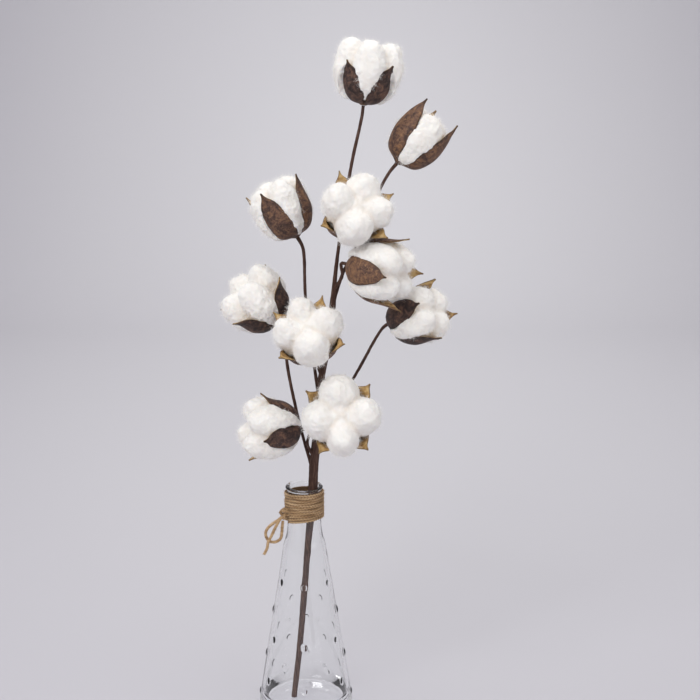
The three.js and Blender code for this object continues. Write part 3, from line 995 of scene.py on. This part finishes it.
def on_valve(form, midline, u, t, height, margin=0.0):
    """A point on a valve: u from -1 to 1 across it, t from 0 to 1 up it, height out of its surface."""
    crowding = math.sqrt(4 / form["locks"])
    bend = u * (crowding * half_width(t) + margin) / VALVE["cup"]
    ahead = (along(midline, t + 0.005) - along(midline, t - 0.005)).normalized()
    side = Vector((0, 1, 0))
    outward = side.cross(ahead)
    normal = outward * math.cos(bend) + side * math.sin(bend)
    middle = along(midline, t) + (ahead * margin if t > 0.999 else Vector())
    return middle - outward * VALVE["cup"] + normal * (VALVE["cup"] + height)


def valve_block(columns, rows):
    """A block from (-1, 0) to (1, 1) with a grid on both faces. Its height runs from 0 to 1."""
    bm = bmesh.new()
    bmesh.ops.create_grid(bm, x_segments=columns, y_segments=rows, size=1)
    made = bmesh.ops.extrude_face_region(bm, geom=bm.faces[:])["geom"]
    bmesh.ops.translate(bm, vec=(0, 0, 1), verts=[v for v in made if isinstance(v, bmesh.types.BMVert)])
    for v in bm.verts:
        v.co.y = (v.co.y + 1) / 2
    bmesh.ops.recalc_face_normals(bm, faces=bm.faces)
    return bm


def dry_valve(form, angle, seed, tone):
    """One woody valve: thin at its rim, with a rib inside, a warped edge and a hooked tip."""
    midline = valve_midline(form)
    bm = valve_block(*VALVE_GRID)
    tones = bm.verts.layers.float.new("tone")
    rims = bm.verts.layers.float.new("rim")
    for face in bm.faces:
        outside = all(v.co.z > 0.5 for v in face.verts)
        face.material_index = 0 if outside else 1
    drift = Vector((seed * 17.3, seed * 5.1, 0))
    for v in bm.verts:
        u, t, side = v.co
        v[tones] = tone
        v[rims] = max(abs(u) ** 5, ((t - 0.7) / 0.3) ** 2 if t > 0.7 else 0)
        warp = VALVE_DRYING["warp"] * noise.noise(Vector((u * 1.5, t * 3, 0)) + drift) * abs(u) ** 1.5
        wrinkle = VALVE_DRYING["wrinkle"] * noise.noise(Vector((u * 7, t * 4, 3)) + drift)
        half = VALVE["thickness"] / 2 * (1 - 0.35 * abs(u) ** 4)
        rib = 0
        if side < 0.5:
            ridge = VALVE_DRYING["rib"] * math.exp(-((u / VALVE_DRYING["rib_width"]) ** 2))
            rib = ridge * math.sin(math.pi * min(t * 1.1, 1))
        height = half + wrinkle * 0.6 if side > 0.5 else -half - rib + wrinkle * 0.3
        hook = VALVE["hook"] * max((t - 0.82) / 0.18, 0) ** 1.5
        ragged = noise.noise(Vector((t * 8, math.copysign(2, u), 0)) + drift)
        edge = 1 + VALVE_DRYING["ragged"] * ragged
        v.co = on_valve(form, midline, u * edge, t, height + warp + hook)
    bmesh.ops.rotate(bm, cent=(0, 0, 0), matrix=Matrix.Rotation(angle, 3, "Z"), verts=bm.verts)
    return bm


def receptacle():
    """The button that the valves grow from."""
    r, h, stalk, flare = (RECEPTACLE[k] for k in ("radius", "height", "stalk", "flare"))
    profile = [
        (0, 0), (stalk, 0), (stalk + 0.8, 0.5), (r - 0.8, flare - 0.6), (r, flare + 0.4), (r, h - 1.2),
        (r - 0.8, h - 0.3), (0, h),
    ]
    bm = bmesh.new()
    corners = [bm.verts.new((a, 0, z)) for a, z in profile]
    edges = [bm.edges.new(pair) for pair in zip(corners, corners[1:])]
    bmesh.ops.spin(
        bm, geom=corners + edges, cent=(0, 0, 0), axis=(0, 0, 1), angle=math.tau, steps=20, use_merge=True
    )
    bmesh.ops.remove_doubles(bm, verts=bm.verts, dist=0.01)
    tones = bm.verts.layers.float.new("tone")
    for v in bm.verts:
        v[tones] = 0.4
    return bm


def husk(form, number):
    """A bur: its button and its valves, brown outside and golden inside."""
    rng = random.Random(number * 3)
    valves = [
        dry_valve(form, angle, number * 10 + i, form["tone"] + rng.uniform(-0.12, 0.12))
        for i, angle in enumerate(valve_angles(form))
    ]
    whole = gather([receptacle(), *valves])
    bmesh.ops.transform(whole, matrix=boll_pose(form), verts=whole.verts)
    piece = finish(whole, f"husk_{number:02d}", LOOKS["husk"], LOOKS["husk_inside"])
    return place(piece, "husk", f"bur_{number:02d}")


def lock_pose(form, start, end, rng):
    """The matrix from a unit ball to one soft lock between two valves, an egg that leans outwards."""
    size = {k: mix(CLOSED_LOCK[k], OPEN_LOCK[k], form["open"]) for k in CLOSED_LOCK}
    room = math.sqrt((end - start) / (math.pi / 2))
    shape = Matrix.Diagonal((
        size["radial"] * rng.uniform(0.94, 1.06), size["tangential"] * room * rng.uniform(0.94, 1.04),
        size["vertical"] * rng.uniform(0.95, 1.05), 1,
    ))
    lean = Matrix.Rotation(math.radians(size["flare"]), 4, "Y")
    spot = Matrix.Translation((size["offset"], 0, size["z"]))
    turn = Matrix.Rotation((start + end) / 2, 4, "Z")
    return boll_pose(form) @ turn @ spot @ lean @ shape


def valve_room(form):
    """The space behind and above each valve that the cotton stays out of. It narrows off the valve."""
    rooms = []
    midline = valve_midline(form)
    for angle in valve_angles(form):
        bm = valve_block(*ROOM_GRID)
        for v in bm.verts:
            u, t, side = v.co
            across = u * mix(1, VALVE_ROOM["narrowing"], side)
            height = mix(VALVE_ROOM["below"], VALVE_ROOM["above"], side)
            v.co = on_valve(form, midline, across, t, height, VALVE_ROOM["margin"] * (1 - side))
        bmesh.ops.rotate(bm, cent=(0, 0, 0), matrix=Matrix.Rotation(angle, 3, "Z"), verts=bm.verts)
        rooms.append(bm)
    return rooms


def carve(piece, cutter):
    """Takes the cutter's space out of a piece."""
    modifier = piece.modifiers.new("room", "BOOLEAN")
    modifier.operation = "DIFFERENCE"
    modifier.solver = "MANIFOLD"
    modifier.object = cutter
    apply_modifiers(piece)


def fluff(piece, locks, seed):
    """Sinks the creases between locks, softens the skin and raises uneven tufts over it."""
    bm = bmesh.new()
    bm.from_mesh(piece.data)
    creases = bm.verts.layers.float.new("fold_depth")
    into = [pose.inverted() for pose in locks]
    for v in bm.verts:
        near, second = sorted((m @ (v.co / MM)).length for m in into)[:2]
        # fold_depth also sets how much painted crease shade the cotton's colour gets
        v[creases] = math.exp(-(((second - near) / CREASE["width"]) ** 2))
        v.co -= v.normal * MM * CREASE["depth"] * v[creases]
    for _ in range(SMOOTHING_PASSES):
        bmesh.ops.smooth_vert(
            bm, verts=bm.verts, factor=0.5, use_axis_x=True, use_axis_y=True, use_axis_z=True
        )
    bm.normal_update()
    drift = Vector((seed * 7.7, seed * 3.1, seed * 1.9))
    for v in bm.verts:
        p = v.co / MM
        lumps = noise.noise(p * 0.1 + drift)
        billows = abs(noise.noise(p * 0.19 - drift))
        tufts = noise.fractal(p * 0.4 + drift, 0.9, 2.0, 3)
        rise = (
            FLUFF["lumps"] * lumps - FLUFF["billows"] * billows + FLUFF["tufts"] * tufts + FLUFF["swell"]
        )
        v.co += v.normal * MM * rise
    bm.to_mesh(piece.data)
    bm.free()


def lint_fibres(piece, husk_piece, number):
    """Fine loose fibres that stand off the skin and soften its outline."""
    rng = random.Random(number)
    tufts = fibre_tufts(rng, kinds=14, count=8, patch=1.6, length=(1.6, 4.4), width=0.11, lift=(10, 75))
    skin = piece.data
    tree = BVHTree.FromPolygons(
        [v.co / MM for v in husk_piece.data.vertices], [p.vertices[:] for p in husk_piece.data.polygons]
    )
    bm = bmesh.new()
    planted = 0
    while planted < LINT_TUFTS:
        vertex = skin.vertices[rng.randrange(len(skin.vertices))]
        foot = vertex.co / MM
        if tree.find_nearest(foot, HUSK_CLEARANCE)[0] is not None:
            planted += MISS_COUNTS
            continue
        plant(bm, tufts, rng, foot, vertex.normal)
        planted += 1
    clear(tufts)
    place(finish(bm, f"lint_{number:02d}", LOOKS["lint"]), "lint")


def cotton(form, number, husk_piece):
    """A boll's cotton: locks fused round a core, cut back behind the valves and set with fibres."""
    rng = random.Random(100 + number)
    angles = valve_angles(form)
    locks = [lock_pose(form, *pair, rng) for pair in zip(angles, [*angles[1:], angles[0] + math.tau])]
    bm = bmesh.new()
    for pose in locks:
        bmesh.ops.create_uvsphere(bm, u_segments=32, v_segments=20, radius=1, matrix=pose)
    core_height = mix(CLOSED_LOCK["z"], OPEN_LOCK["z"], form["open"]) + LINT_CORE["rise"]
    core = boll_pose(form) @ Matrix.Translation((0, 0, core_height))
    bmesh.ops.create_uvsphere(bm, u_segments=32, v_segments=20, radius=LINT_CORE["radius"], matrix=core)
    piece = finish(bm, f"cotton_ball_{number:02d}", LOOKS["cotton"])
    remesh(piece, LOCK_SKIN)
    rooms = gather([*valve_room(form), receptacle()])
    bmesh.ops.transform(rooms, matrix=boll_pose(form), verts=rooms.verts)
    cutter = finish(rooms, "valve_rooms", LOOKS["husk"])
    remesh(cutter, ROOM_SKIN)
    carve(piece, cutter)
    bpy.data.objects.remove(cutter)
    remesh(piece, LOCK_SKIN)
    fluff(piece, locks, number)
    place(piece, "lint", f"cotton_{number:02d}")
    lint_fibres(piece, husk_piece, number)


def bolls():
    """Every boll's bur and cotton, in the order of their numbers."""
    for number, form in enumerate(BOLLS, start=1):
        cotton(form, number, husk(form, number))


# ---- The whole ----

camera()
twine()
studio_floor()
light()
vase()
stem()
bolls()
